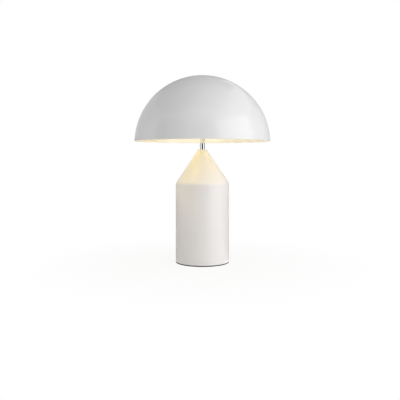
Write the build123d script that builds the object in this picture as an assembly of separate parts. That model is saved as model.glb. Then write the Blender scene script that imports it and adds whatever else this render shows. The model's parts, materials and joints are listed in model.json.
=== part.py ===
from build123d import *
import os
from math import hypot, radians, sqrt, tan

# Mushroom table lamp. Millimetres. Z is up, the origin is the centre of the face that stands on the table,
# and the front of the lamp looks along -Y.

# Outline of the lamp
shade_diameter = 380.0
shade_centre_depth = 5.8
rim_height = 340.0
body_diameter = 150.0
shoulder_height = 221.8
cone_top_height = 312.6
neck_diameter = 28.6
neck_height = 3.8
stem_diameter = 14.0
foot_thickness = 2.9

# Walls and edges
shade_wall = 1.2
rim_rounding = 0.5
body_wall = 1.2
cone_wall = 1.2
neck_rounding = 1.6
foot_rounding = 0.5

# Clearances, all radial unless named otherwise
bond_gap = 0.1
thread_gap = 0.1
loose_gap = 0.2
running_gap = 0.05
slip_gap = 0.15

# Extra length of cuts that open a face, and of blind holes past their screws
cut_overrun = 1.0
drill_extra = 1.0

# Foot, bottom plate and weight
foot_inset = 0.3
foot_width = 9.0
plate_thickness = 3.0
plate_gap = 0.5
ledge_margin = 3.0
ledge_thickness = 5.0
ballast_height = 20.0
ballast_gap = 1.5
base_screw_count = 3
base_screw_head_clear = 1.0
base_screw_radius = 2.0
base_screw_head_radius = 3.75
base_screw_head_height = 2.2
base_screw_grip = 4.5
ballast_screw_offset = 30.0
ballast_screw_radius = 2.5
ballast_screw_head_radius = 4.6
ballast_screw_head_height = 2.5
ballast_screw_grip = 14.0
slot_width = 1.0
slot_depth = 0.8

# Shoulder ring and neck
shoulder_ring_thickness = 3.0
shoulder_ring_below = 12.0
shoulder_ring_above = 8.0
shoulder_ring_relief = 1.5
spigot_depth = 3.0
plug_height = 14.0
stem_seat_depth = 1.8

# Threaded tube, washers and nuts
tie_tube_radius = 5.0
tie_tube_bore_radius = 3.8
tie_tube_overrun = 2.0
nut_flats = 14.0
nut_thickness = 4.0
washer_radius = 11.0
washer_thickness = 1.5

# Hub with two arms
hub_radius = 18.0
hub_bore_radius = 12.5
hub_half_length = 17.0
hub_floor = 4.0
hub_flat = 16.0
hub_rounding = 1.0
hub_cap_thickness = 3.0
hub_cap_spigot = 4.0
nipple_inside = 1.0
arm_nut_thickness = 3.0

# Lampholder, along its arm
holder_cap_radius = 12.0
holder_cap_back = 8.0
holder_cap_length = 18.0
holder_chamber_length = 4.0
holder_chamber_radius = 8.8
holder_core_radius = 10.2
holder_core_length = 14.0
holder_wall = 1.5
holder_overlap = 8.0
holder_sleeve_room = 1.2
thread_shell_wall = 0.5
thread_shell_length = 17.0
contact_radius = 2.8
contact_thickness = 0.6
contact_height = 2.8
contact_surround = 1.0
terminal_radius = 1.5
terminal_length = 10.0
terminal_proud = 1.0

# Bulb, along its arm
bulb_cap_radius = 6.95
bulb_cap_wall = 0.4
bulb_cap_length = 18.0
bulb_length = 78.0
bulb_globe_radius = 22.5
bulb_globe_wall = 1.2
bulb_seam_radius = 19.5
bulb_neck_radius = 8.5
bulb_housing_wall = 1.6
bulb_spigot_length = 7.0
bulb_tip_radius = 2.4
bulb_tip_height = 1.5
insulator_height = 3.5
insulator_overlap = 0.7
insulator_front_radius = 5.6
led_board_thickness = 1.6
led_board_ledge = 1.0
led_chip_count = 8
led_chip_size = 2.8
led_chip_height = 0.8
led_chip_circle_radius = 10.0
holder_mouth_gap = 1.0

# Shade carrier
post_radius = 6.0
post_length = 46.0
post_stud_radius = 4.0
post_nut_flats = 13.0
post_nut_thickness = 4.0
post_stud_overrun = 1.0
seat_radius = 10.0
seat_thickness = 3.0
pin_radius = 4.5
bush_wall = 2.0
bush_length = 12.0
bush_flange_radius = 10.0
bush_flange_thickness = 2.0
socket_radius = 15.0
socket_height = 22.0
socket_headroom = 1.0

# Inlet for the mains flex
inlet_height = 48.0
inlet_bore_radius = 3.1
inlet_body_radius = 5.0
inlet_flange_radius = 8.0
inlet_flange_thickness = 2.0

# Terminal block and earth
pole_count = 3
pole_pitch = 10.0
block_depth = 16.0
block_height = 14.0
block_place_y = 32.0
insert_size = 5.6
insert_axis_height = 6.0
insert_gap = 0.1
terminal_screw_radius = 1.5
terminal_screw_spacing = 8.0
terminal_screw_sink = 1.0
block_rounding = 1.0
block_screw_radius = 1.25
block_screw_head_radius = 2.3
block_screw_head_height = 1.6
block_screw_grip = 6.0
earth_screw_radius = 2.0
earth_screw_head_radius = 3.5
earth_screw_head_height = 2.4
earth_screw_grip = 8.0
earth_place = (34.0, 12.0)
earth_tag_radius = 4.5
earth_tag_thickness = 0.8
earth_tag_reach = 11.0
earth_barrel_radius = 1.8

# Wires
wire_radius = 0.9
wire_spread_x = 1.4
wire_spread_y = 2.0
wire_pair_spacing = 2.4
wire_lead_in = 42.0
hub_bend_radius = 10.0
bend_share = 0.45
earth_run_out_length = 16.0
earth_turn_length = 12.0
earth_loop_length = 20.0
earth_run_in_length = 13.0

# Places that follow from the sizes above
shade_rim_radius = shade_diameter / 2
shade_centre_height = rim_height - shade_centre_depth
shade_outer_sphere = hypot(shade_rim_radius, shade_centre_depth)
shade_inner_sphere = shade_outer_sphere - shade_wall
apex_inside = shade_centre_height + shade_inner_sphere

body_radius = body_diameter / 2
shell_inside = body_radius - body_wall
neck_radius = neck_diameter / 2
cone_slope = (body_radius - neck_radius) / (cone_top_height - shoulder_height)
cone_wall_across = cone_wall * hypot(1, cone_slope)
cone_bond_across = bond_gap * hypot(1, cone_slope)

plate_top = foot_thickness + plate_thickness
ledge_radius = shell_inside - bond_gap
foot_outside = body_radius - foot_inset
foot_inside = foot_outside - foot_width
base_screw_circle = foot_inside - base_screw_head_clear - base_screw_head_radius
ledge_inside = base_screw_circle - base_screw_radius - ledge_margin
ballast_radius = ledge_inside - ballast_gap
ballast_top = plate_top + ballast_height

spigot_bottom = cone_top_height - spigot_depth
plug_bottom = spigot_bottom - plug_height
washer_bottom = plug_bottom - washer_thickness
lower_nut_bottom = washer_bottom - nut_thickness
tie_tube_bottom = lower_nut_bottom - tie_tube_overrun
neck_top = cone_top_height + neck_height
stem_bottom = neck_top - stem_seat_depth
stem_radius = stem_diameter / 2

socket_bottom = apex_inside - socket_height
seat_top = socket_bottom - bush_flange_thickness
seat_bottom = seat_top - seat_thickness
pin_top = socket_bottom + bush_length
bush_bore_radius = pin_radius + running_gap
bush_radius = bush_bore_radius + bush_wall
socket_bore_radius = bush_radius + slip_gap

hub_cap_top = seat_bottom - post_length
hub_top = hub_cap_top - hub_cap_thickness
hub_height = hub_top - hub_half_length
hub_bottom = hub_height - hub_half_length
hub_floor_top = hub_bottom + hub_floor
tie_tube_top = hub_floor_top + nut_thickness + tie_tube_overrun
hub_cap_bottom = hub_top - hub_cap_spigot
post_stud_bottom = hub_cap_bottom - post_nut_thickness - post_stud_overrun

# Distances along an arm, counted from the lamp's axis
holder_start = hub_flat + arm_nut_thickness
holder_chamber_start = holder_start + holder_cap_back
core_start = holder_chamber_start + holder_chamber_length
core_end = core_start + holder_core_length
holder_cap_end = holder_start + holder_cap_length
sleeve_start = holder_cap_end - holder_overlap
thread_shell_radius = bulb_cap_radius + slip_gap
contact_face = core_end + contact_height
bulb_tip_end = contact_face + bulb_tip_height
insulator_start = bulb_tip_end - insulator_overlap
bulb_cap_start = insulator_start + insulator_height
bulb_cap_end = bulb_cap_start + bulb_cap_length
globe_centre = contact_face + bulb_length - bulb_globe_radius
globe_seam = globe_centre - sqrt(bulb_globe_radius**2 - bulb_seam_radius**2)
holder_mouth = bulb_cap_end - holder_mouth_gap
sleeve_bore_radius = thread_shell_radius + thread_shell_wall + holder_sleeve_room
bulb_flare = (bulb_seam_radius - bulb_neck_radius) / (globe_seam - bulb_cap_end)
bulb_flare_wall = bulb_housing_wall * hypot(1, bulb_flare)
board_rest_radius = bulb_seam_radius - bulb_flare_wall - bulb_flare * led_board_thickness - led_board_ledge
board_recess_radius = board_rest_radius + 2 * led_board_ledge

arm_planes = {
    "left": Plane(origin=(0, 0, hub_height), x_dir=(0, 1, 0), z_dir=(-1, 0, 0)),
    "right": Plane(origin=(0, 0, hub_height), x_dir=(0, 1, 0), z_dir=(1, 0, 0)),
}
arm_signs = {"left": -1, "right": 1}


# Building blocks

def rod(radius, bottom, top):
    """Plain cylinder about Z."""
    return Pos(0, 0, bottom) * Cylinder(radius, top - bottom, align=(Align.CENTER, Align.CENTER, Align.MIN))


def tube(radius, bore_radius, bottom, top):
    """Plain tube or ring about Z."""
    return rod(radius, bottom, top) - rod(bore_radius, bottom, top)


def turned(*outline):
    """Solid turned about Z from an outline of (radius, height) points."""
    points = [(radius, 0, height) for radius, height in outline]
    return revolve(make_face(Polyline(*points, close=True)), Axis.Z)


def hex_nut(flats, bore_radius, bottom, top):
    """Hexagon nut about Z."""
    hexagon = RegularPolygon(flats / 2, 6, major_radius=False)
    return Pos(0, 0, bottom) * extrude(hexagon, top - bottom) - rod(bore_radius, bottom, top)


def countersunk_shape(radius, head_radius, head_height, length):
    """Outline of a countersunk screw whose head starts at z = 0 and whose shank points up."""
    return turned((0, 0), (head_radius, 0), (radius, head_height), (radius, length), (0, length))


def slot(head_radius):
    """Screwdriver slot in a head that starts at z = 0."""
    return Box(2 * head_radius + cut_overrun, slot_width, 2 * slot_depth)


def countersunk_screw(radius, head_radius, head_height, length):
    return countersunk_shape(radius, head_radius, head_height, length) - slot(head_radius)


def pan_screw(radius, head_radius, head_height, length):
    """Screw with its head's underside at z = 0 and its shank pointing down."""
    screw = rod(head_radius, 0, head_height) + rod(radius, -length, 0)
    return screw - Pos(0, 0, head_height) * slot(head_radius)


def dome(sphere_radius, centre_height, bottom, top_limit):
    """Part of a solid ball between two heights."""
    ball = Pos(0, 0, centre_height) * Sphere(sphere_radius)
    return ball & rod(sphere_radius + cut_overrun, bottom, top_limit)


def group(solids):
    """Several separate solids of one kind."""
    return Compound(children=list(solids))


# Foot and bottom plate

def base_screw_places():
    return PolarLocations(base_screw_circle, base_screw_count, start_angle=90)


def ballast_screw_places():
    return [Pos(side * ballast_screw_offset, 0, foot_thickness) for side in (-1, 1)]


def foot_ring():
    ring = tube(foot_outside, foot_inside, 0, foot_thickness)
    return fillet(ring.edges().filter_by(GeomType.CIRCLE), foot_rounding)


def base_plate():
    plate = rod(shell_inside - plate_gap, foot_thickness, plate_top)
    screw_hole = countersunk_shape(
        base_screw_radius + loose_gap,
        base_screw_head_radius + loose_gap,
        base_screw_head_height,
        plate_thickness,
    )
    weight_hole = countersunk_shape(
        ballast_screw_radius + loose_gap,
        ballast_screw_head_radius + loose_gap,
        ballast_screw_head_height,
        plate_thickness,
    )
    for place in base_screw_places():
        plate -= place * Pos(0, 0, foot_thickness) * screw_hole
    for place in ballast_screw_places():
        plate -= place * weight_hole
    return plate


def base_screws():
    screw = countersunk_screw(
        base_screw_radius,
        base_screw_head_radius,
        base_screw_head_height,
        plate_thickness + base_screw_grip,
    )
    return group(place * Pos(0, 0, foot_thickness) * screw for place in base_screw_places())


def ledge_ring():
    ring = tube(ledge_radius, ledge_inside, plate_top, plate_top + ledge_thickness)
    for place in base_screw_places():
        ring -= place * rod(base_screw_radius + thread_gap, plate_top, plate_top + ledge_thickness)
    return ring


def ballast_screws():
    screw = countersunk_screw(
        ballast_screw_radius,
        ballast_screw_head_radius,
        ballast_screw_head_height,
        plate_thickness + ballast_screw_grip,
    )
    return group(place * screw for place in ballast_screw_places())


def block_screw_places():
    """On the ballast, in the two walls between the three poles."""
    walls = pole_count - 1
    first = -pole_pitch * (walls - 1) / 2
    return [Pos(first + pole_pitch * number, block_place_y, ballast_top) for number in range(walls)]


def ballast():
    weight = rod(ballast_radius, plate_top, ballast_top)
    for place in ballast_screw_places():
        depth = ballast_screw_grip + drill_extra
        weight -= place * rod(ballast_screw_radius + thread_gap, plate_thickness, plate_thickness + depth)
    for place in block_screw_places():
        weight -= place * rod(block_screw_radius + thread_gap, -block_screw_grip - drill_extra, 0)
    earth_hole = rod(earth_screw_radius + thread_gap, -earth_screw_grip - drill_extra, 0)
    return weight - Pos(*earth_place, ballast_top) * earth_hole


# Body, shoulder and cone

def cone_radius(height):
    """Outside radius of the cone at a height."""
    return body_radius - cone_slope * (height - shoulder_height)


def body_shell():
    shell = tube(body_radius, shell_inside, foot_thickness, shoulder_height)
    inlet_hole = Cylinder(inlet_body_radius, body_radius, align=(Align.CENTER, Align.CENTER, Align.MIN))
    return shell - Pos(0, 0, inlet_height) * Rot(-90, 0, 0) * inlet_hole


def cone_inside(height):
    """Radius left free inside the cone's wall, less the gap that a bonded piece needs."""
    return cone_radius(height) - cone_wall_across - cone_bond_across


def shoulder_ring():
    top = shoulder_height + shoulder_ring_above
    bottom = shoulder_height - shoulder_ring_below
    relief = shoulder_height - shoulder_ring_relief
    inside = ledge_radius - shoulder_ring_thickness
    return turned(
        (ledge_radius, bottom),
        (ledge_radius, relief),
        (cone_inside(shoulder_height), shoulder_height),
        (cone_inside(top), top),
        (cone_inside(top) - shoulder_ring_thickness, top),
        (cone_inside(shoulder_height) - shoulder_ring_thickness, shoulder_height),
        (inside, relief),
        (inside, bottom),
    )


def cone_shell():
    return turned(
        (body_radius, shoulder_height),
        (neck_radius, cone_top_height),
        (neck_radius - cone_wall_across, cone_top_height),
        (body_radius - cone_wall_across, shoulder_height),
    )


def neck_collar():
    spigot_radius = neck_radius - cone_wall_across - loose_gap
    flange = rod(neck_radius, cone_top_height, neck_top)
    flange = fillet(flange.edges().group_by(Axis.Z)[-1], neck_rounding)
    collar = flange + rod(spigot_radius, spigot_bottom, cone_top_height)
    collar -= rod(stem_radius + running_gap, stem_bottom, neck_top)
    return collar - rod(tie_tube_radius + thread_gap, spigot_bottom, neck_top)


def apex_plug():
    bore_radius = tie_tube_radius + thread_gap
    return turned(
        (bore_radius, plug_bottom),
        (cone_inside(plug_bottom), plug_bottom),
        (cone_inside(spigot_bottom), spigot_bottom),
        (bore_radius, spigot_bottom),
    )


# Threaded tube and stem

def tie_washer():
    return tube(washer_radius, tie_tube_radius + thread_gap, washer_bottom, plug_bottom)


def tie_nuts():
    bore_radius = tie_tube_radius + thread_gap
    return group(
        [
            hex_nut(nut_flats, bore_radius, lower_nut_bottom, washer_bottom),
            hex_nut(nut_flats, bore_radius, hub_floor_top, hub_floor_top + nut_thickness),
        ]
    )


def tie_tube():
    return tube(tie_tube_radius, tie_tube_bore_radius, tie_tube_bottom, tie_tube_top)


def stem_tube():
    return tube(stem_radius, tie_tube_radius + loose_gap, stem_bottom, hub_bottom)


# Hub

def hub():
    body = rod(hub_radius, hub_bottom, hub_top)
    body = fillet(body.edges().group_by(Axis.Z)[0], hub_rounding)
    body -= rod(hub_bore_radius, hub_floor_top, hub_top)
    body -= rod(tie_tube_radius + thread_gap, hub_bottom, hub_floor_top)
    waste_side = 2 * (hub_radius + cut_overrun)
    waste = Box(waste_side, waste_side, hub_radius, align=(Align.CENTER, Align.CENTER, Align.MIN))
    for plane in arm_planes.values():
        body -= plane * rod(tie_tube_radius + thread_gap, 0, hub_radius)
        body -= plane * Pos(0, 0, hub_flat) * waste
    return body


def hub_cap():
    cap = rod(hub_radius, hub_top, hub_cap_top)
    cap = fillet(cap.edges().group_by(Axis.Z)[-1], hub_rounding)
    cap += rod(hub_bore_radius - thread_gap, hub_cap_bottom, hub_top)
    return cap - rod(post_stud_radius + thread_gap, hub_cap_bottom, hub_cap_top)


def arm_nipples():
    start = hub_bore_radius - nipple_inside
    nipple = tube(tie_tube_radius, tie_tube_bore_radius, start, holder_chamber_start)
    return group(plane * nipple for plane in arm_planes.values())


def arm_nuts():
    nut = hex_nut(nut_flats, tie_tube_radius + thread_gap, hub_flat, holder_start)
    return group(plane * nut for plane in arm_planes.values())


# Lampholder, drawn along its arm

def holder_cap():
    cap = rod(holder_cap_radius, holder_start, holder_cap_end)
    cap -= rod(tie_tube_radius + thread_gap, holder_start, holder_chamber_start)
    cap -= rod(holder_chamber_radius, holder_chamber_start, core_start)
    return cap - rod(holder_core_radius + bond_gap, core_start, holder_cap_end)


def holder_sleeve():
    outside = holder_cap_radius + thread_gap + holder_wall
    return turned(
        (holder_cap_radius + thread_gap, sleeve_start),
        (outside, sleeve_start),
        (outside, holder_mouth),
        (sleeve_bore_radius, holder_mouth),
        (sleeve_bore_radius, core_end),
        (holder_core_radius + bond_gap, core_end),
        (holder_core_radius + bond_gap, holder_cap_end + thread_gap),
        (holder_cap_radius + thread_gap, holder_cap_end + thread_gap),
    )


def terminal_places():
    return [Pos(side * wire_spread_y, 0, 0) for side in (-1, 1)]


def holder_core():
    core = rod(holder_core_radius, core_start, core_end)
    hole_end = core_start - terminal_proud + terminal_length
    for place in terminal_places():
        core -= place * rod(terminal_radius + bond_gap, core_start, hole_end)
    return core


def holder_terminals():
    start = core_start - terminal_proud
    return group(place * rod(terminal_radius, start, start + terminal_length) for place in terminal_places())


def thread_shell():
    outside = thread_shell_radius + thread_shell_wall
    shell = tube(outside, thread_shell_radius, core_end, core_end + thread_shell_length)
    return shell + tube(outside, contact_radius + contact_surround, core_end, core_end + thread_shell_wall)


def centre_contact():
    plate_start = contact_face - contact_thickness
    return rod(contact_radius / 2, core_end, plate_start) + rod(contact_radius, plate_start, contact_face)


# Bulb, drawn along its arm

def bulb_tip():
    return rod(bulb_tip_radius, contact_face, bulb_tip_end)


def bulb_insulator():
    inside = bulb_tip_radius + running_gap
    front = bulb_cap_radius - bulb_cap_wall - bond_gap
    return turned(
        (inside, insulator_start),
        (insulator_front_radius, insulator_start),
        (insulator_front_radius, bulb_cap_start),
        (front, bulb_cap_start),
        (front, bulb_cap_start + insulator_overlap),
        (0, bulb_cap_start + insulator_overlap),
        (0, bulb_tip_end),
        (inside, bulb_tip_end),
    )


def bulb_cap():
    shell = tube(bulb_cap_radius, bulb_cap_radius - bulb_cap_wall, bulb_cap_start, bulb_cap_end)
    lip_start = bulb_cap_start - bulb_cap_wall
    return shell + tube(bulb_cap_radius, insulator_front_radius + bond_gap, lip_start, bulb_cap_start)


def bulb_housing():
    spigot = bulb_cap_radius - bulb_cap_wall - bond_gap
    spigot_start = bulb_cap_end - bulb_spigot_length
    board_seat = globe_seam - led_board_thickness
    return turned(
        (spigot - bulb_housing_wall, spigot_start),
        (spigot, spigot_start),
        (spigot, bulb_cap_end),
        (bulb_neck_radius, bulb_cap_end),
        (bulb_seam_radius, globe_seam),
        (board_recess_radius, globe_seam),
        (board_recess_radius, board_seat),
        (board_rest_radius, board_seat),
        (spigot - bulb_housing_wall, bulb_cap_end + bulb_housing_wall),
    )


def led_board():
    board = rod(board_recess_radius - bond_gap, globe_seam - led_board_thickness, globe_seam)
    chip = Box(led_chip_size, led_chip_size, led_chip_height, align=(Align.CENTER, Align.CENTER, Align.MIN))
    for place in PolarLocations(led_chip_circle_radius, led_chip_count):
        board += Pos(0, 0, globe_seam) * place * chip
    return board


def bulb_globe():
    end = globe_centre + bulb_globe_radius
    outer = dome(bulb_globe_radius, globe_centre, globe_seam, end)
    inner = dome(bulb_globe_radius - bulb_globe_wall, globe_centre, globe_seam, end)
    return outer - inner


# Shade and its carrier

def shade_post():
    stud = rod(post_stud_radius, post_stud_bottom, hub_cap_top)
    post = rod(post_radius, hub_cap_top, seat_bottom)
    seat = rod(seat_radius, seat_bottom, seat_top)
    pin = rod(pin_radius, seat_top, pin_top)
    return stud + post + seat + pin


def post_nut():
    bottom = hub_cap_bottom - post_nut_thickness
    return hex_nut(post_nut_flats, post_stud_radius + thread_gap, bottom, hub_cap_bottom)


def swivel_bush():
    sleeve = tube(bush_radius, bush_bore_radius, seat_top, pin_top)
    return sleeve + tube(bush_flange_radius, bush_bore_radius, seat_top, socket_bottom)


def shade_socket():
    inside_of_dome = Pos(0, 0, shade_centre_height) * Sphere(shade_inner_sphere - bond_gap)
    boss = rod(socket_radius, socket_bottom, apex_inside) & inside_of_dome
    return boss - rod(socket_bore_radius, socket_bottom, pin_top + socket_headroom)


def shade_shell():
    apex = apex_inside + shade_wall
    outer = dome(shade_outer_sphere, shade_centre_height, rim_height, apex)
    shell = outer - dome(shade_inner_sphere, shade_centre_height, rim_height, apex_inside)
    return fillet(shell.edges().group_by(Axis.Z)[0], rim_rounding)


# Inlet, terminal block and earth

def inlet_grommet():
    inside = shell_inside - inlet_flange_thickness
    outside = body_radius + inlet_flange_thickness
    flanges = rod(inlet_flange_radius, inside, outside)
    body = rod(inlet_body_radius - bond_gap, inside, outside)
    bore = rod(inlet_bore_radius, inside - cut_overrun, outside + cut_overrun)
    to_back = Pos(0, 0, inlet_height) * Rot(-90, 0, 0)
    bottom = inlet_height - 2 * inlet_flange_radius
    top = inlet_height + 2 * inlet_flange_radius
    wall = tube(body_radius + bond_gap, shell_inside - bond_gap, bottom, top)
    return (to_back * flanges - wall) + to_back * body - to_back * bore


def pole_places():
    first = -pole_pitch * (pole_count - 1) / 2
    return [first + pole_pitch * number for number in range(pole_count)]


def terminal_block():
    width = pole_pitch * pole_count
    block = Box(width, block_depth, block_height, align=(Align.CENTER, Align.CENTER, Align.MIN))
    block = fillet(block.edges().filter_by(Axis.Z), block_rounding)
    channel_size = insert_size + 2 * insert_gap
    well_radius = terminal_screw_radius + loose_gap
    for pole in pole_places():
        block -= Pos(pole, 0, insert_axis_height) * Box(channel_size, block_depth, channel_size)
        for side in (-1, 1):
            place = Pos(pole, side * terminal_screw_spacing / 2, 0)
            block -= place * rod(well_radius, insert_axis_height, block_height)
    block = Pos(0, block_place_y, ballast_top) * block
    for place in block_screw_places():
        block -= place * rod(block_screw_radius + thread_gap, 0, block_height)
    return block


def terminal_inserts():
    insert = Box(insert_size, block_depth, insert_size)
    height = ballast_top + insert_axis_height
    return group(Pos(pole, block_place_y, height) * insert for pole in pole_places())


def terminal_screws():
    insert_top = ballast_top + insert_axis_height + insert_size / 2
    length = ballast_top + block_height - terminal_screw_sink - insert_top
    screw = rod(terminal_screw_radius, 0, length) - Pos(0, 0, length) * slot(terminal_screw_radius)
    return group(
        Pos(pole, block_place_y + side * terminal_screw_spacing / 2, insert_top) * screw
        for pole in pole_places()
        for side in (-1, 1)
    )


def block_screws():
    screw = pan_screw(
        block_screw_radius,
        block_screw_head_radius,
        block_screw_head_height,
        block_height + block_screw_grip,
    )
    return group(place * Pos(0, 0, block_height) * screw for place in block_screw_places())


def earth_tag():
    ring = tube(earth_tag_radius, earth_screw_radius + loose_gap, 0, earth_tag_thickness)
    crimp = 2 * earth_barrel_radius
    strap_start = earth_tag_radius - earth_tag_thickness
    strap_length = earth_tag_reach - strap_start
    strap = Box(crimp, strap_length, earth_tag_thickness, align=(Align.CENTER, Align.MIN, Align.MIN))
    barrel = Box(crimp, crimp, crimp, align=(Align.CENTER, Align.MIN, Align.MIN))
    tag = ring + Pos(0, strap_start, 0) * strap + Pos(0, earth_tag_reach - crimp, 0) * barrel
    return Pos(*earth_place, ballast_top) * Rot(0, 0, 180) * tag


def earth_screw():
    screw = pan_screw(
        earth_screw_radius,
        earth_screw_head_radius,
        earth_screw_head_height,
        earth_tag_thickness + earth_screw_grip,
    )
    return Pos(*earth_place, ballast_top + earth_tag_thickness) * screw


# Wires

def bend_radii(points):
    """One radius for each inner point of a route, as large as its two runs allow."""
    radii = []
    for before, here, after in zip(points, points[1:], points[2:]):
        run_in = Vector(*here) - Vector(*before)
        run_out = Vector(*after) - Vector(*here)
        half_turn = radians(run_in.get_angle(run_out)) / 2
        radii.append(bend_share * min(run_in.length, run_out.length) / tan(half_turn))
    return radii


def wire(name, points, radii):
    path = FilletPolyline(*points, radius=radii)
    section = Plane(origin=path @ 0, z_dir=path % 0) * Circle(wire_radius)
    solid = sweep(section, path=path)
    expected = section.area * path.length
    print(name, "length", round(path.length, 1), "radii", [round(radius, 1) for radius in radii])
    print(name, "volume over expected", round(solid.volume / expected, 5))
    return solid


def supply_wire(name, pole, pair_side, side, row):
    """From a pole of the block up through the threaded tube and along one arm to a lampholder.

    The free stretch leans from the block towards the tube: share is how much of the way across is done,
    forward and rise are measured from the pole. The live wires run in front of the neutral ones.
    """
    start_x = pole_places()[pole] + pair_side * wire_pair_spacing / 2
    start_y = block_place_y - block_depth / 2
    start_z = ballast_top + insert_axis_height
    tube_x = arm_signs[side] * wire_spread_x
    tube_y = row * wire_spread_y
    free_stretch = [
        (0.0, 0.0, 0.0),
        (0.0, 17.0, 0.0),
        (0.08, 31.0, 14.0),
        (0.22, 39.0, 37.0),
        (0.42, 40.0, 71.0),
        (0.66, 36.0, 112.0),
        (0.87, 29.0, 156.0),
    ]
    points = [
        (start_x + share * (tube_x - start_x), start_y - forward + share * tube_y, start_z + rise)
        for share, forward, rise in free_stretch
    ]
    points += [
        (tube_x, tube_y, tie_tube_bottom - wire_lead_in),
        (tube_x, tube_y, hub_height),
        (arm_signs[side] * (core_start - terminal_proud - bond_gap), tube_y, hub_height),
    ]
    radii = bend_radii(points)
    radii[-1] = hub_bend_radius
    return wire(name, points, radii)


def earth_wire():
    """From the earth pole forward, round and back to the barrel of the tag."""
    start_x = pole_places()[-1]
    start_y = block_place_y - block_depth / 2
    start_z = ballast_top + insert_axis_height
    end_x, end_y = earth_place[0], earth_place[1] - earth_tag_reach
    end_z = ballast_top + earth_barrel_radius
    points = [
        (start_x, start_y, start_z),
        (start_x, start_y - earth_run_out_length, start_z),
        (start_x - wire_radius / 2, end_y - earth_turn_length, start_z - wire_radius),
        ((start_x + end_x) / 2, end_y - earth_loop_length, (start_z + end_z) / 2),
        (end_x, end_y - earth_run_in_length, end_z),
        (end_x, end_y, end_z),
    ]
    return wire("earth_wire", points, bend_radii(points))


# Files

def parts():
    nodes = {
        "foot_ring": foot_ring(),
        "base_plate": base_plate(),
        "base_screws": base_screws(),
        "ledge_ring": ledge_ring(),
        "ballast": ballast(),
        "ballast_screws": ballast_screws(),
        "body_shell": body_shell(),
        "shoulder_ring": shoulder_ring(),
        "cone_shell": cone_shell(),
        "neck_collar": neck_collar(),
        "apex_plug": apex_plug(),
        "tie_washer": tie_washer(),
        "tie_nuts": tie_nuts(),
        "tie_tube": tie_tube(),
        "stem_tube": stem_tube(),
        "hub": hub(),
        "hub_cap": hub_cap(),
        "arm_nipples": arm_nipples(),
        "arm_nuts": arm_nuts(),
        "shade_post": shade_post(),
        "post_nut": post_nut(),
        "swivel_bush": swivel_bush(),
        "shade_socket": shade_socket(),
        "shade_shell": shade_shell(),
        "inlet_grommet": inlet_grommet(),
        "terminal_block": terminal_block(),
        "terminal_inserts": terminal_inserts(),
        "terminal_screws": terminal_screws(),
        "block_screws": block_screws(),
        "earth_tag": earth_tag(),
        "earth_screw": earth_screw(),
        "earth_wire": earth_wire(),
    }
    side_pieces = {
        "holder_cap": holder_cap,
        "holder_sleeve": holder_sleeve,
        "holder_core": holder_core,
        "holder_terminals": holder_terminals,
        "thread_shell": thread_shell,
        "centre_contact": centre_contact,
        "bulb_tip": bulb_tip,
        "bulb_insulator": bulb_insulator,
        "bulb_cap": bulb_cap,
        "bulb_housing": bulb_housing,
        "led_board": led_board,
        "bulb_globe": bulb_globe,
    }
    for side, plane in arm_planes.items():
        pair_side = arm_signs[side]
        for name, make in side_pieces.items():
            nodes[f"{name}_{side}"] = plane * make()
        for kind, pole, row in (("live", 0, -1), ("neutral", 1, 1)):
            name = f"{kind}_wire_{side}"
            nodes[name] = supply_wire(name, pole, pair_side, side, row)
    return nodes


os.makedirs("parts", exist_ok=True)
for node, shape in parts().items():
    shape.label = node
    export_step(shape, f"parts/{node}.step")
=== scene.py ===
import json
from math import atan2, cos, pi, radians, sin, sqrt, tan

import bmesh
import bpy
from mathutils import Matrix, Vector


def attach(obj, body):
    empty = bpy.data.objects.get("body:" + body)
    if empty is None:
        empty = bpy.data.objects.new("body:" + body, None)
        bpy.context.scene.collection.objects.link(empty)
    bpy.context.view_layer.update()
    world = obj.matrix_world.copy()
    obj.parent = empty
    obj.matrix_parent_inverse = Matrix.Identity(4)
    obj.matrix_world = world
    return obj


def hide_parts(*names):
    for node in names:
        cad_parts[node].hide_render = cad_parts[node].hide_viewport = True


# Mushroom table lamp, dressed. Its sizes are in millimetres, as in the part's source. Meshes, materials and
# the studio are in metres, and MM takes a size there.
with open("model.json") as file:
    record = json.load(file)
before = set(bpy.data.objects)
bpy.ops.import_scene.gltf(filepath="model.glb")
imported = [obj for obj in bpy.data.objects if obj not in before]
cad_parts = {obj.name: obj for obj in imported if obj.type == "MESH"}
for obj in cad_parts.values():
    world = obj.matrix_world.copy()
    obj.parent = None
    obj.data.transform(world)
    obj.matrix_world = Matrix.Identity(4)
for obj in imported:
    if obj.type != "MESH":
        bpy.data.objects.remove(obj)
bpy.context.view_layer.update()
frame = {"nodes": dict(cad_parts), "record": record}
nodes = frame["nodes"]
MM = 0.001

# Outline, and the gaps between its pieces
shade_centre = 334.2
shade_outer = 190.0885
shade_inner = 188.8885
shade_rim = 340.0
rim_rounding = 0.5
rim_inset = 0.08
body_radius = 75.0
shell_inside = 73.8
bend_inset = 0.8
foot_top = 2.9
foot_inside = 65.7
foot_outside = 74.7
shoulder = 221.8
shoulder_rounding = 16.0
cone_lean = 33.76
cone_top = 312.6
neck_radius = 14.3
neck_top = 316.4
neck_bottom = 309.6
neck_gap = 0.2
cone_wall_across = 1.4434
stem_radius = 7.0
stem_bottom = 314.6
stem_gap = 0.05
tie_tube_radius = 5.0
tie_tube_gap = 0.1
sleeve_gap = 0.2
inlet_height = 48.0
inlet_radius = 5.0
inlet_drilled = (60.0, 90.0)

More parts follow.
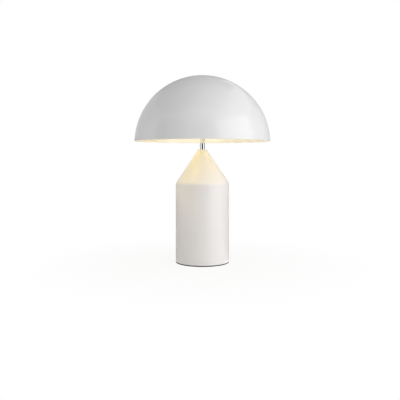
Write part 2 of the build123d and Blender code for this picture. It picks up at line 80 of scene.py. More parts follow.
# Hub and shade carrier
hub_bottom = 413.0885
hub_height = 430.0885
hub_cap_top = 450.0885
post_bottom = 438.0885
stud_radius = 4.0
post_radius = 6.0
seat_bottom = 496.0885
seat_top = 499.0885
seat_radius = 10.0
pin_radius = 4.5
pin_top = 513.0885
pin_headroom = 1.0
bush_bore = 4.55
bush_radius = 6.55
bush_flange = 10.0
grease_film = 0.02
socket_bottom = 501.0885
socket_radius = 15.0
socket_bore = 6.7
socket_edge = 522.35
socket_top = 522.95

# Lampholder and bulb, counted along an arm from the lamp's axis
holder_start = 19.0
holder_chamber = 27.0
holder_core_start = 31.0
holder_cap_end = 37.0
holder_sleeve_start = 29.0
holder_core_end = 45.0
holder_mouth = 69.1
holder_cap_radius = 12.0
holder_sleeve_radius = 13.6
holder_core_radius = 10.2
holder_bore = 8.8
holder_gap = 0.1
rib_count = 28
rib_sides = 8
rib_circle = 11.75
rib_radius = 0.55
rib_length = 6.4
rib_middle = 24.4
shell_radius = 7.1
shell_wall = 0.5
shell_length = 17.0
shell_floor_hole = 3.8
tip_start = 47.8
tip_end = 49.3
tip_radius = 2.4
cap_start = 52.1
cap_end = 70.1
cap_length = 18.0
cap_radius = 6.95
cap_wall = 0.4
cap_floor_hole = 5.7
cap_floor_inset = 0.3
globe_centre = 103.3
globe_seam = 92.075
globe_radius = 22.5
globe_wall = 1.2
seam_radius = 19.5
bulb_neck_radius = 8.5
housing_bore = 4.85
housing_plug_radius = 6.45
housing_plug_length = 7.0
housing_wall = 1.6
housing_cavity_radius = 15.91
board_seat_radius = 17.91
thread_pitch = 2.822
bulb_thread_depth = 0.75
bulb_thread_start = cap_start + 1.2
bulb_thread_end = cap_end - 2.2
holder_thread_depth = -0.35
holder_thread_start = holder_core_end + 1.5
holder_thread_end = holder_core_end + 16.5

# Steps round a turned piece
dome_turns = 240
body_turns = 192
usual_turns = 128
holder_turns = 96
thread_turns = 72
small_turns = 48


class Value:
    """An output of a material's nodes. Sums and products of these are written as Python."""

    def __init__(self, tree, socket=None):
        self.tree = tree
        self.socket = socket

    def node(self, kind, settings=(), inputs=(), output=0):
        """One node: its type, its settings, which are set first, and the values or links of its sockets."""
        made = self.tree.nodes.new(kind)
        for name, value in dict(settings).items():
            if name == "stops":
                ramp = made.color_ramp
                while len(ramp.elements) < len(value):
                    ramp.elements.new(1.0)
                for stop, (place, colour) in zip(ramp.elements, value):
                    stop.position = place
                    stop.color = (*colour, 1.0)
            else:
                setattr(made, name, value)
        for key, value in dict(inputs).items():
            if isinstance(value, Value):
                self.tree.links.new(value.socket, made.inputs[key])
            else:
                made.inputs[key].default_value = value
        return Value(self.tree, made.outputs[output]) if made.outputs else None

    def maths(self, operation, first, second=0.0):
        """A maths node of this operation on two values or numbers."""
        return self.node("ShaderNodeMath", {"operation": operation}, {0: first, 1: second})

    def __add__(self, other):
        return self.maths("ADD", self, other)

    def __sub__(self, other):
        return self.maths("SUBTRACT", self, other)

    def __rsub__(self, other):
        return self.maths("SUBTRACT", other, self)

    def __mul__(self, other):
        return self.maths("MULTIPLY", self, other)

    __radd__ = __add__
    __rmul__ = __mul__

    def clamp(self):
        """The value held between 0 and 1."""
        return self.node("ShaderNodeClamp", {}, {"Value": self})


# What the finishes are made of

def start_material(name):
    """An empty material, and the start of its nodes."""
    material = bpy.data.materials.new(name)
    material.use_nodes = True
    material.node_tree.nodes.clear()
    return material, Value(material.node_tree)


def place_on_piece(sheet, stretch=(1.0, 1.0, 1.0)):
    """Position on the piece in metres, stretched along its axes."""
    position = sheet.node("ShaderNodeTexCoord", output="Object")
    return sheet.node("ShaderNodeMapping", {}, {"Vector": position, "Scale": stretch})


def noise(place, scale, detail=2.0, roughness=0.5):
    """Cloudy noise from 0 to 1, with this many clouds to the metre or so."""
    return place.node(
        "ShaderNodeTexNoise", {}, {"Vector": place, "Scale": scale, "Detail": detail, "Roughness": roughness}
    )


def remap(value, low, high, out_low, out_high):
    """The value with its range from low to high taken to out_low to out_high, and held there beyond it."""
    return value.node(
        "ShaderNodeMapRange",
        {"clamp": True},
        {"Value": value, "From Min": low, "From Max": high, "To Min": out_low, "To Max": out_high},
    )


def over_noise(noisy, low, high):
    """Goes from low to high over the range that most of a noise lies in."""
    return remap(noisy, 0.3, 0.7, low, high)


def blend_colour(share, first, second):
    """The first colour, with this share of the second."""
    # The node keeps its colours in sockets 6 and 7, and gives their mix at its output 2
    inputs = {0: share}
    for socket, colour in ((6, first), (7, second)):
        inputs[socket] = colour if isinstance(colour, Value) else (*colour, 1.0)
    return share.node("ShaderNodeMix", {"data_type": "RGBA"}, inputs, output=2)


def relief(height, strength, depth):
    """Normal from a height: strength is its weight, depth its real height in metres."""
    return height.node("ShaderNodeBump", {}, {"Height": height, "Strength": strength, "Distance": depth})


def finish_surface(sheet, **sockets):
    """Ends a material with its surface shader, whose sockets are named with underscores."""
    names = {key.replace("_", " "): value for key, value in sockets.items()}
    shader = sheet.node("ShaderNodeBsdfPrincipled", {}, names)
    sheet.node("ShaderNodeOutputMaterial", {}, {"Surface": shader})


rub_reach = 6.0


def white_enamel(name, colour, shade_of_white, wear_height):
    """Sprayed gloss enamel: a faint orange peel, a slow drift of its white, fine rub marks near one edge."""
    material, sheet = start_material(name)
    place = place_on_piece(sheet)
    drift = noise(place, scale=9.0, detail=1.0)
    peel = noise(place, scale=420.0, detail=1.0)
    waves = noise(place, scale=130.0, detail=1.0)
    height = sheet.node("ShaderNodeSeparateXYZ", {}, {"Vector": place}, output="Z")
    rub_band = remap(height, wear_height * MM, (wear_height + rub_reach) * MM, 1.0, 0.0)
    streaks = noise(place_on_piece(sheet, (1.0, 1.0, 5.0)), scale=170.0, detail=4.0, roughness=0.7)
    rubbed = remap((streaks * rub_band).clamp(), 0.35, 0.7, 0.0, 1.0)
    finish_surface(
        sheet,
        Base_Color=blend_colour(drift, colour, shade_of_white),
        Roughness=over_noise(drift, 0.33, 0.36) + rubbed * 0.12,
        Specular_IOR_Level=0.2,
        Coat_Weight=0.55 - rubbed * 0.25,
        Coat_Roughness=0.045,
        Normal=relief(peel * 0.5 + waves, strength=0.03, depth=0.0003),
    )
    return material


def chrome(name):
    """Polished chrome: nearly a mirror, with hairlines round the tube and the ghost of a wiped smear."""
    material, sheet = start_material(name)
    hairlines = noise(place_on_piece(sheet, (1.0, 1.0, 60.0)), scale=90.0, detail=2.0)
    smear = noise(place_on_piece(sheet), scale=45.0, detail=4.0)
    finish_surface(
        sheet,
        Base_Color=blend_colour(smear, (0.80, 0.81, 0.82), (0.87, 0.875, 0.88)),
        Metallic=1.0,
        Roughness=remap(smear, 0.35, 0.75, 0.02, 0.05) + hairlines * 0.015,
        Normal=relief(hairlines, strength=0.02, depth=0.0001),
    )
    return material


def rubber(name):
    """Moulded black rubber: a fine matt grain, lighter where dust sits in it."""
    material, sheet = start_material(name)
    place = place_on_piece(sheet)
    grain = noise(place, scale=1500.0, detail=3.0)
    dusty = remap(noise(place, scale=60.0, detail=5.0, roughness=0.65), 0.42, 0.75, 0.0, 1.0)
    finish_surface(
        sheet,
        Base_Color=blend_colour(dusty, (0.012, 0.012, 0.013), (0.05, 0.05, 0.052)),
        Roughness=over_noise(grain, 0.62, 0.85),
        Specular_IOR_Level=0.35,
        Normal=relief(grain, strength=0.25, depth=0.0002),
    )
    return material


def zinc(name):
    """Zinc plating: large soft crystals, a bluish cast and short scratches."""
    material, sheet = start_material(name)
    place = place_on_piece(sheet)
    crystals = place.node("ShaderNodeTexVoronoi", {}, {"Vector": place, "Scale": 260.0}, output="Color")
    shade = crystals.node("ShaderNodeSeparateColor", {}, {"Color": crystals})
    cloud = noise(place, scale=55.0, detail=4.0, roughness=0.6)
    streaks = noise(place_on_piece(sheet, (1.0, 14.0, 3.0)), scale=240.0, detail=3.0, roughness=0.7)
    scratches = remap(streaks, 0.6, 0.72, 0.0, 1.0)
    patches = (shade * 0.55 + cloud * 0.45).clamp()
    finish_surface(
        sheet,
        Base_Color=blend_colour(patches, (0.46, 0.47, 0.49), (0.64, 0.65, 0.66)),
        Metallic=1.0,
        Roughness=over_noise(cloud, 0.3, 0.46) + scratches * 0.12,
        Normal=relief(cloud * 0.6 - scratches * 0.5, strength=0.08, depth=0.0002),
    )
    return material


def cast_iron(name):
    """Grey casting: sandy skin with small pits, under a thin wash of oxide."""
    material, sheet = start_material(name)
    place = place_on_piece(sheet)
    sand = noise(place, scale=700.0, detail=6.0, roughness=0.7)
    cells = place.node("ShaderNodeTexVoronoi", {}, {"Vector": place, "Scale": 380.0})
    pits = remap(cells, 0.0, 0.35, 0.0, 1.0)
    oxide = remap(noise(place, scale=70.0, detail=5.0, roughness=0.65), 0.5, 0.72, 0.0, 1.0)
    finish_surface(
        sheet,
        Base_Color=blend_colour(oxide, (0.085, 0.085, 0.088), (0.15, 0.095, 0.06)),
        Metallic=remap(oxide, 0.0, 1.0, 0.75, 0.2),
        Roughness=over_noise(sand, 0.55, 0.8),
        Normal=relief(sand + pits * 0.6, strength=0.45, depth=0.0004),
    )
    return material


def turned_aluminium(name):
    """Lathe-turned aluminium: fine feed lines round the axis, with a soft haze."""
    material, sheet = start_material(name)
    position = sheet.node("ShaderNodeTexCoord", output="Object")
    flat = sheet.node("ShaderNodeVectorMath", {"operation": "MULTIPLY"}, {0: position, 1: (1.0, 1.0, 0.0)})
    radius = sheet.node("ShaderNodeVectorMath", {"operation": "LENGTH"}, {0: flat}, output="Value")
    height = sheet.node("ShaderNodeSeparateXYZ", {}, {"Vector": position}, output="Z")
    travel = (radius + height) * 9000.0
    feed = travel.maths("SINE", travel)
    haze = noise(place_on_piece(sheet), scale=120.0, detail=4.0)
    finish_surface(
        sheet,
        Base_Color=blend_colour(haze, (0.66, 0.665, 0.67), (0.8, 0.8, 0.805)),
        Metallic=1.0,
        Roughness=over_noise(haze, 0.22, 0.34) + feed * 0.03,
        Normal=relief(feed, strength=0.12, depth=0.00005),
    )
    return material


def moulded_plastic(name, colour, deeper, roughness):
    """Moulded plastic: a satin skin with fine spark grain and a slow shift of its colour."""
    material, sheet = start_material(name)
    place = place_on_piece(sheet)
    grain = noise(place, scale=900.0, detail=3.0)
    drift = noise(place, scale=70.0, detail=3.0)
    finish_surface(
        sheet,
        Base_Color=blend_colour(over_noise(drift, 0.0, 1.0), colour, deeper),
        Roughness=over_noise(grain, roughness - 0.05, roughness + 0.07),
        Specular_IOR_Level=0.5,
        Normal=relief(grain, strength=0.1, depth=0.00012),
    )
    return material


def steatite(name):
    """Unglazed electrical ceramic: chalky, with dark specks."""
    material, sheet = start_material(name)
    place = place_on_piece(sheet)
    chalk = noise(place, scale=900.0, detail=5.0, roughness=0.7)
    specks = remap(noise(place, scale=1600.0, detail=1.0), 0.68, 0.74, 0.0, 1.0)
    finish_surface(
        sheet,
        Base_Color=blend_colour(specks, (0.78, 0.76, 0.71), (0.3, 0.27, 0.23)),
        Roughness=over_noise(chalk, 0.6, 0.8),
        Normal=relief(chalk, strength=0.2, depth=0.0002),
    )
    return material


def plated(name, bright, dull, roughness):
    """Stamped brass or nickel plate: drawing lines along it, duller where air has reached it."""
    material, sheet = start_material(name)
    tarnish = noise(place_on_piece(sheet), scale=160.0, detail=5.0, roughness=0.65)
    lines = noise(place_on_piece(sheet, (20.0, 1.0, 1.0)), scale=150.0, detail=3.0)
    finish_surface(
        sheet,
        Base_Color=blend_colour(remap(tarnish, 0.4, 0.75, 0.0, 1.0), bright, dull),
        Metallic=1.0,
        Roughness=over_noise(tarnish, roughness, roughness + 0.16),
        Normal=relief(lines, strength=0.06, depth=0.0001),
    )
    return material


def black_glass(name):
    """Vitrite of a bulb's cap: glossy black with a violet cast and small bubbles."""
    material, sheet = start_material(name)
    place = place_on_piece(sheet)
    swirl = noise(place, scale=300.0, detail=4.0)
    cells = place.node("ShaderNodeTexVoronoi", {}, {"Vector": place, "Scale": 900.0})
    bubbles = remap(cells, 0.0, 0.2, 0.0, 1.0)
    finish_surface(
        sheet,
        Base_Color=blend_colour(swirl, (0.012, 0.01, 0.016), (0.035, 0.028, 0.045)),
        Roughness=over_noise(swirl, 0.08, 0.2),
        Normal=relief(bubbles, strength=0.2, depth=0.0001),
    )
    return material


def lit_opal(name):
    """Opal globe of a lit bulb: bright over its crown, deeper and warmer by the housing, faintly mottled."""
    material, sheet = start_material(name)
    place = place_on_piece(sheet)
    along = sheet.node("ShaderNodeSeparateXYZ", {}, {"Vector": place}, output="X")
    reach = along.maths("ABSOLUTE", along)
    mottle = noise(place, scale=150.0, detail=4.0)
    crown = (remap(reach, globe_seam * MM, (globe_seam + 3.0) * MM, 0.0, 1.0) + mottle * 0.12 - 0.06).clamp()
    glow = sheet.node(
        "ShaderNodeValToRGB",
        {"stops": ((0.0, (0.34, 0.15, 0.04)), (0.35, (0.78, 0.5, 0.15)), (1.0, (1.0, 0.72, 0.25)))},
        {"Fac": crown},
    )
    finish_surface(
        sheet,
        Base_Color=blend_colour(mottle, (0.5, 0.48, 0.42), (0.56, 0.54, 0.48)),
        Roughness=over_noise(mottle, 0.22, 0.32),
        Emission_Color=glow,
        Emission_Strength=0.8,
    )
    return material


def circuit_board(name):
    """White coated aluminium board, with yellow phosphor on the chips that stand on it."""
    material, sheet = start_material(name)
    place = place_on_piece(sheet)
    along = sheet.node("ShaderNodeSeparateXYZ", {}, {"Vector": place}, output="X")
    reach = along.maths("ABSOLUTE", along)
    chips = reach.maths("GREATER_THAN", reach, (globe_seam + 0.1) * MM)
    dust = noise(place, scale=500.0, detail=3.0)
    board = blend_colour(dust, (0.78, 0.79, 0.77), (0.86, 0.86, 0.84))
    finish_surface(
        sheet,
        Base_Color=blend_colour(chips, board, (0.85, 0.66, 0.12)),
        Roughness=over_noise(dust, 0.35, 0.55),
        Normal=relief(dust, strength=0.1, depth=0.0001),
    )
    return material


def insulation(name, colour, deeper, second=None):
    """Flexible wire insulation: a soft sheen with faint draw lines, striped where it has a second colour."""
    material, sheet = start_material(name)
    place = place_on_piece(sheet)
    draw = noise(place, scale=800.0, detail=3.0)
    shade = blend_colour(draw, colour, deeper)
    if second:
        stripe = sheet.node(
            "ShaderNodeTexWave",
            {"wave_type": "BANDS", "bands_direction": "DIAGONAL"},
            {"Vector": place, "Scale": 55.0, "Distortion": 0.4},
            output="Fac",
        )
        shade = blend_colour(remap(stripe, 0.45, 0.55, 0.0, 1.0), shade, second)
    finish_surface(
        sheet,
        Base_Color=shade,
        Roughness=over_noise(draw, 0.32, 0.45),
        Normal=relief(draw, strength=0.08, depth=0.0001),
    )
    return material


finishes = {
    "shade_paint": white_enamel("shade_enamel", (0.845, 0.84, 0.85), (0.86, 0.855, 0.86), shade_rim),
    "body_paint": white_enamel("body_enamel", (0.852, 0.828, 0.824), (0.862, 0.843, 0.843), foot_top),
    "chrome": chrome("polished_chrome"),
    "rubber_black": rubber("black_rubber"),
    "zinc_steel": zinc("zinc_plated_steel"),
    "cast_iron": cast_iron("cast_iron_skin"),
    "turned_aluminium": turned_aluminium("turned_aluminium"),
    "nylon": moulded_plastic("natural_nylon", (0.8, 0.79, 0.74), (0.86, 0.85, 0.8), 0.45),
    "holder_plastic": moulded_plastic("holder_thermoset", (0.82, 0.81, 0.79), (0.87, 0.865, 0.85), 0.36),
    "holder_ceramic": steatite("steatite"),
    "brass": plated("stamped_brass", (0.79, 0.58, 0.25), (0.45, 0.3, 0.13), 0.2),
    "nickel": plated("nickel_plate", (0.74, 0.72, 0.68), (0.52, 0.5, 0.46), 0.16),
    "black_glass": black_glass("black_vitrite"),
    "bulb_white": moulded_plastic("bulb_housing_plastic", (0.82, 0.81, 0.78), (0.87, 0.86, 0.83), 0.3),
    "bulb_opal": lit_opal("lit_opal_globe"),
    "led_white": circuit_board("coated_board"),
    "wire_brown": insulation("brown_insulation", (0.13, 0.05, 0.02), (0.18, 0.075, 0.035)),
    "wire_blue": insulation("blue_insulation", (0.02, 0.09, 0.36), (0.03, 0.13, 0.45)),
    "wire_earth": insulation("earth_insulation", (0.08, 0.32, 0.05), (0.11, 0.38, 0.07), (0.75, 0.6, 0.04)),
}
slot_of = {piece["node"]: piece["material_slot"] for piece in frame["record"]["subparts"]}
body_of = {node: body for body, members in frame["record"]["behaviour"]["bodies"].items() for node in members}
for node, slot in slot_of.items():
    for place in nodes[node].material_slots:
        place.material = finishes[slot]


# Turned shapes

# Sides over this length get a point this far from both their ends
long_side = 6.0
end_band = 0.4
# A point nearer to the axis than this lies on it
on_axis = 1e-6


def arc(centre, radius, start, end, steps):
    """Points of an arc about (radius, height), from one angle to another in degrees."""
    turn = [radians(start + (end - start) * step / steps) for step in range(steps + 1)]
    return [(centre[0] + radius * cos(angle), centre[1] + radius * sin(angle)) for angle in turn]


def across_ball(centre, radius, height):
    """How far a ball's surface lies from the axis at this height."""
    return sqrt(radius**2 - (height - centre) ** 2)


def ball_arc(centre, radius, edge, steps):
    """Points up a ball's outline, from an edge (radius, height) to its top on the axis."""
    first = atan2(edge[1] - centre, edge[0])
    turn = [first + (pi / 2 - first) * step / steps for step in range(steps + 1)]
    return [(radius * cos(a) if a < pi / 2 else 0.0, centre + radius * sin(a)) for a in turn]


def rounded(outline, radii, steps=4):
    """The outline with the corners named in radii {corner number: radius} replaced by arcs."""
    points = []
    for number, corner in enumerate(outline):
        radius = radii.get(number)
        if not radius:
            points.append(corner)
            continue
        here = Vector(corner)
        back = (Vector(outline[number - 1]) - here).normalized()
        ahead = (Vector(outline[(number + 1) % len(outline)]) - here).normalized()
        half = back.angle(ahead) / 2
        reach = radius / tan(half)
        middle = here + (back + ahead).normalized() * radius / sin(half)
        first = here + back * reach - middle
        last = here + ahead * reach - middle
        for step in range(steps + 1):
            points.append(tuple(middle + first.slerp(last, step / steps).normalized() * radius))
    return points


def held_straight(outline):
    """The outline with points near the ends of its long sides, so that shading bends at corners alone."""
    points = []
    for here, ahead in zip(outline, outline[1:] + outline[:1]):
        points.append(here)
        side = Vector(ahead) - Vector(here)
        if side.length > long_side:
            step = side.normalized() * end_band
            points += [tuple(Vector(here) + step), tuple(Vector(ahead) - step)]
    return points


def turned_mesh(outline, turns):
    """Mesh turned about Z from a closed outline of (radius, height), which may touch the axis. Metres."""
    outline = held_straight(outline)
    area = sum(a[0] * b[1] - b[0] * a[1] for a, b in zip(outline, outline[1:] + outline[:1]))
    if area > 0:
        outline = outline[::-1]
    made = bmesh.new()
    rings = []
    for radius, height in outline:
        count = 1 if radius < on_axis else turns
        angles = [2 * pi * step / turns for step in range(count)]
        places = [(radius * MM * cos(a), radius * MM * sin(a), height * MM) for a in angles]
        rings.append([made.verts.new(place) for place in places])
    for ring, following in zip(rings, rings[1:] + rings[:1]):
        for step in range(turns):
            corners = [
                ring[step % len(ring)],
                following[step % len(following)],
                following[(step + 1) % len(following)],
                ring[(step + 1) % len(ring)],
            ]
            corners = [corner for place, corner in enumerate(corners) if corner not in corners[:place]]
            if len(corners) > 2:
                made.faces.new(corners)
    mesh = bpy.data.meshes.new("turned")
    made.to_mesh(mesh)
    made.free()
    return mesh


# Nodes that a piece of this script stands for
dressed = set()


def finish_piece(name, mesh, node, sharp_above=32.0):
    """Names a mesh, gives it its node's finish, and lets it stand for that node and ride with it."""
    piece = bpy.data.objects.new(name, mesh)
    bpy.context.scene.collection.objects.link(piece)
    mesh.materials.clear()
    mesh.materials.append(finishes[slot_of[node]])
    mesh.shade_smooth()
    mesh.set_sharp_from_angle(angle=radians(sharp_above))
    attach(piece, body_of[node])
    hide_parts(node)
    dressed.add(node)


def turned_piece(name, outline, node, turns=usual_turns):
    """A piece turned about the lamp's axis."""
    finish_piece(name, turned_mesh(outline, turns), node)


arm_matrices = {
    "left": Matrix(((0, 0, -1, 0), (1, 0, 0, 0), (0, -1, 0, hub_height * MM), (0, 0, 0, 1))),
    "right": Matrix(((0, 0, 1, 0), (1, 0, 0, 0), (0, 1, 0, hub_height * MM), (0, 0, 0, 1))),
}


# Geometry node trees

def new_tree(name, inputs):
    """An empty tree with a geometry input, named number inputs, and a geometry output."""
    tree = bpy.data.node_groups.new(name, "GeometryNodeTree")
    tree.interface.new_socket("Geometry", in_out="INPUT", socket_type="NodeSocketGeometry")
    for label, kind in inputs:
        tree.interface.new_socket(label, in_out="INPUT", socket_type=f"NodeSocket{kind}")
    tree.interface.new_socket("Geometry", in_out="OUTPUT", socket_type="NodeSocketGeometry")
    return tree, Value(tree), tree.nodes.new("NodeGroupInput")


def end_tree(tree, sheet, start, geometry):
    """Makes the geometry real, gives it its finish and hands it out."""
    real = sheet.node("GeometryNodeRealizeInstances", {}, {"Geometry": geometry})
    painted = sheet.node(
        "GeometryNodeSetMaterial", {}, {"Geometry": real, "Material": Value(tree, start.outputs["Finish"])}
    )
    sheet.node("NodeGroupOutput", {}, {"Geometry": painted})
    return tree


def rolled_thread_tree():
    """Rolls a round thread into a turned shell: points move in or out by a wave that climbs with the turn."""
    labels = ("Pitch", "Depth", "Start", "End")
    inputs = [(label, "Float") for label in labels] + [("Finish", "Material")]
    tree, sheet, start = new_tree("rolled_thread", inputs)
    given = {label: Value(tree, start.outputs[label]) for label in labels}
    position = sheet.node("GeometryNodeInputPosition")
    x = sheet.node("ShaderNodeSeparateXYZ", {}, {"Vector": position}, output="X")
    y = sheet.node("ShaderNodeSeparateXYZ", {}, {"Vector": position}, output="Y")
    z = sheet.node("ShaderNodeSeparateXYZ", {}, {"Vector": position}, output="Z")
    climb = z.maths("DIVIDE", z, given["Pitch"]) * (2 * pi)
    wave = climb.maths("COSINE", climb - y.maths("ARCTAN2", y, x))
    fade_in, fade_out = (
        sheet.node(
            "ShaderNodeMapRange",
            {"interpolation_type": "SMOOTHSTEP"},
            {"Value": z, "From Min": plain_end, "From Max": full_depth},
        )
        for plain_end, full_depth in (
            (given["Start"], given["Start"] + given["Pitch"]),
            (given["End"], given["End"] - given["Pitch"]),
        )
    )
    shift = (wave - 1.0) * given["Depth"] * 0.5 * fade_in * fade_out
    outward = sheet.node("ShaderNodeVectorMath", {"operation": "MULTIPLY"}, {0: position, 1: (1.0, 1.0, 0.0)})
    direction = sheet.node("ShaderNodeVectorMath", {"operation": "NORMALIZE"}, {0: outward})
    offset = sheet.node("ShaderNodeVectorMath", {"operation": "SCALE"}, {0: direction, "Scale": shift})
    moved = sheet.node(
        "GeometryNodeSetPosition", {}, {"Geometry": Value(tree, start.outputs["Geometry"]), "Offset": offset}
    )
    return end_tree(tree, sheet, start, moved)


def grip_rib_tree():
    """Adds a ring of equal ribs, bars along Z, round a moulded cap."""
    labels = ("Circle Radius", "Rib Radius", "Rib Length", "Middle")
    inputs = [("Count", "Int"), *((label, "Float") for label in labels), ("Finish", "Material")]
    tree, sheet, start = new_tree("grip_ribs", inputs)
    given = {label: Value(tree, start.outputs[label]) for label in ("Count", *labels)}
    rib = sheet.node(
        "GeometryNodeMeshCylinder",
        {},
        {"Vertices": rib_sides, "Radius": given["Rib Radius"], "Depth": given["Rib Length"]},
        output="Mesh",
    )
    circle = sheet.node(
        "GeometryNodeMeshCircle",
        {},
        {"Vertices": given["Count"], "Radius": given["Circle Radius"]},
        output="Mesh",
    )
    lift = sheet.node("ShaderNodeCombineXYZ", {}, {"Z": given["Middle"]})
    raised = sheet.node("GeometryNodeTransform", {}, {"Geometry": circle, "Translation": lift})
    ribs = sheet.node("GeometryNodeInstanceOnPoints", {}, {"Points": raised, "Instance": rib})
    joined = tree.nodes.new("GeometryNodeJoinGeometry")
    tree.links.new(start.outputs["Geometry"], joined.inputs[0])
    tree.links.new(ribs.socket, joined.inputs[0])
    return end_tree(tree, sheet, start, Value(tree, joined.outputs[0]))


def grown(mesh, tree, values):
    """The mesh after a geometry node tree with these input values, as a plain mesh."""
    carrier = bpy.data.objects.new("carrier", mesh)
    bpy.context.scene.collection.objects.link(carrier)
    modifier = carrier.modifiers.new("nodes", "NODES")
    modifier.node_group = tree
    for socket in tree.interface.items_tree:
        if socket.in_out == "INPUT" and socket.name in values:
            modifier[socket.identifier] = values[socket.name]
    evaluated = carrier.evaluated_get(bpy.context.evaluated_depsgraph_get())
    result = bpy.data.meshes.new_from_object(evaluated)
    bpy.data.objects.remove(carrier)
    return result


thread_tree = rolled_thread_tree()
rib_tree = grip_rib_tree()


# Shade and its carrier

rim_start = shade_rim + rim_rounding
outer_side, inner_side = (
    ball_arc(shade_centre, sphere, (across_ball(shade_centre, sphere, rim_start), rim_start), steps=72)
    for sphere in (shade_outer, shade_inner)
)
# The rolled rim is set in a little, so that it stays within the CAD rim's width
rim_centre = (shade_outer + shade_inner) / 2 * cos(atan2(shade_rim - shade_centre, shade_outer)) - rim_inset
rim_edge = arc((rim_centre, rim_start), rim_rounding, 180, 360, steps=8)
turned_piece("shade_dome", outer_side + inner_side[::-1] + rim_edge, "shade_shell", dome_turns)
turned_piece(
    "shade_boss",
    rounded(
        [
            (socket_bore, socket_bottom),
            (socket_radius, socket_bottom),
            (socket_radius, socket_edge),
            (0.0, socket_top),
            (0.0, pin_top + pin_headroom),
            (socket_bore, pin_top + pin_headroom),
        ],
        {0: 0.5, 1: 0.8},
    ),
    "shade_socket",
)
turned_piece(
    "bearing_bush",
    rounded(
        [
            (bush_bore, seat_top + grease_film),
            (bush_flange, seat_top + grease_film),
            (bush_flange, socket_bottom),
            (bush_radius, socket_bottom),
            (bush_radius, pin_top),
            (bush_bore, pin_top),
        ],
        {0: 0.3, 1: 0.4, 2: 0.4, 4: 0.5, 5: 0.3},
    ),
    "swivel_bush",
)
turned_piece(
    "carrier_post",
    rounded(
        [
            (0.0, post_bottom),
            (stud_radius, post_bottom),
            (stud_radius, hub_cap_top),
            (post_radius, hub_cap_top),
            (post_radius, seat_bottom),
            (seat_radius, seat_bottom),
            (seat_radius, seat_top),
            (pin_radius, seat_top),
            (pin_radius, pin_top),
            (0.0, pin_top),
        ],
        {1: 0.5, 3: 0.3, 5: 0.6, 6: 0.4, 8: 0.9},
    ),
    "shade_post",
)
turned_piece(
    "stem_sleeve",
    rounded(
        [
            (tie_tube_radius + sleeve_gap, stem_bottom),
            (stem_radius, stem_bottom),
            (stem_radius, hub_bottom),
            (tie_tube_radius + sleeve_gap, hub_bottom),
        ],
        {1: 0.3, 2: 0.3},
    ),
    "stem_tube",
)

# Foot, body and cone

turned_piece(
    "foot_gasket",
    rounded(
        [(foot_inside, 0.0), (foot_outside, 0.0), (foot_outside, foot_top), (foot_inside, foot_top)],
        {0: 0.25, 1: 0.25, 2: 0.4, 3: 0.4},
    ),
    "foot_ring",
    body_turns,
)
shoulder_reach = shoulder_rounding * tan(radians(cone_lean / 2))
shoulder_centre = (body_radius - shoulder_rounding, shoulder - shoulder_reach)
cylinder_bend = arc(shoulder_centre, shoulder_rounding, 0.0, cone_lean / 2, steps=6)
cone_bend = arc(shoulder_centre, shoulder_rounding, cone_lean / 2, cone_lean, steps=6)
turned_piece(
    "cone_skin",
    [
        *cone_bend,
        (neck_radius, cone_top),
        (neck_radius - cone_wall_across, cone_top),
        (body_radius - cone_wall_across, shoulder),
    ],
    "cone_shell",
    body_turns,
)
turned_piece(
    "neck_ring",
    rounded(
        [
            (neck_radius, cone_top),
            (neck_radius, neck_top),
            (stem_radius + stem_gap, neck_top),
            (stem_radius + stem_gap, stem_bottom),
            (tie_tube_radius + tie_tube_gap, stem_bottom),
            (tie_tube_radius + tie_tube_gap, neck_bottom),
            (neck_radius - cone_wall_across - neck_gap, neck_bottom),
            (neck_radius - cone_wall_across - neck_gap, cone_top),
        ],
        {1: 1.6, 2: 0.2},
        steps=6,
    ),
    "neck_collar",
)


# Edges under this length are left over from the cut
sliver = 0.01


def body_skin():
    """The cylinder with the round hole for the inlet cut through its back."""
    outline = rounded([(shell_inside, foot_top), (body_radius, foot_top), (shell_inside, shoulder)], {1: 0.3})
    # The third corner only gives the rounding its direction. The bend takes its place
    outline[-1:] = [*cylinder_bend, (shell_inside - bend_inset, cylinder_bend[-1][1])]
    skin = bpy.data.objects.new("skin", turned_mesh(outline, body_turns))
    near, far = inlet_drilled
    bore = [(0.0, near), (inlet_radius, near), (inlet_radius, far), (0.0, far)]
    drill_mesh = turned_mesh(bore, small_turns)
    drill_mesh.transform(Matrix.Translation((0, 0, inlet_height * MM)) @ Matrix.Rotation(-pi / 2, 4, "X"))
    drill = bpy.data.objects.new("drill", drill_mesh)
    for helper in (skin, drill):
        bpy.context.scene.collection.objects.link(helper)
    cut = skin.modifiers.new("inlet", "BOOLEAN")
    cut.operation = "DIFFERENCE"
    cut.solver = "EXACT"
    cut.object = drill
    evaluated = skin.evaluated_get(bpy.context.evaluated_depsgraph_get())
    result = bpy.data.meshes.new_from_object(evaluated)
    for helper in (skin, drill):
        bpy.data.objects.remove(helper)
    cleaned = bmesh.new()
    cleaned.from_mesh(result)
    bmesh.ops.remove_doubles(cleaned, verts=cleaned.verts, dist=sliver * MM)
    bmesh.ops.dissolve_degenerate(cleaned, edges=cleaned.edges, dist=sliver * MM)
    bmesh.ops.triangulate(cleaned, faces=[face for face in cleaned.faces if len(face.verts) > 4])
    cleaned.to_mesh(result)
    cleaned.free()
    return result


finish_piece("body_skin", body_skin(), "body_shell")

# Lampholders and bulbs, made along Z and then laid along their arm

def thread_values(depth, start, end, slot):
    """What the thread's nodes are given: its depth, the two heights that it runs between, and its finish."""
    return {
        "Pitch": thread_pitch * MM,
        "Depth": depth * MM,
        "Start": start * MM,
        "End": end * MM,
        "Finish": finishes[slot],
    }


def many_heights(start, length, steps):
    """Heights of the many rings that a rolled thread needs."""
    return [start + length * step / steps for step in range(steps + 1)]


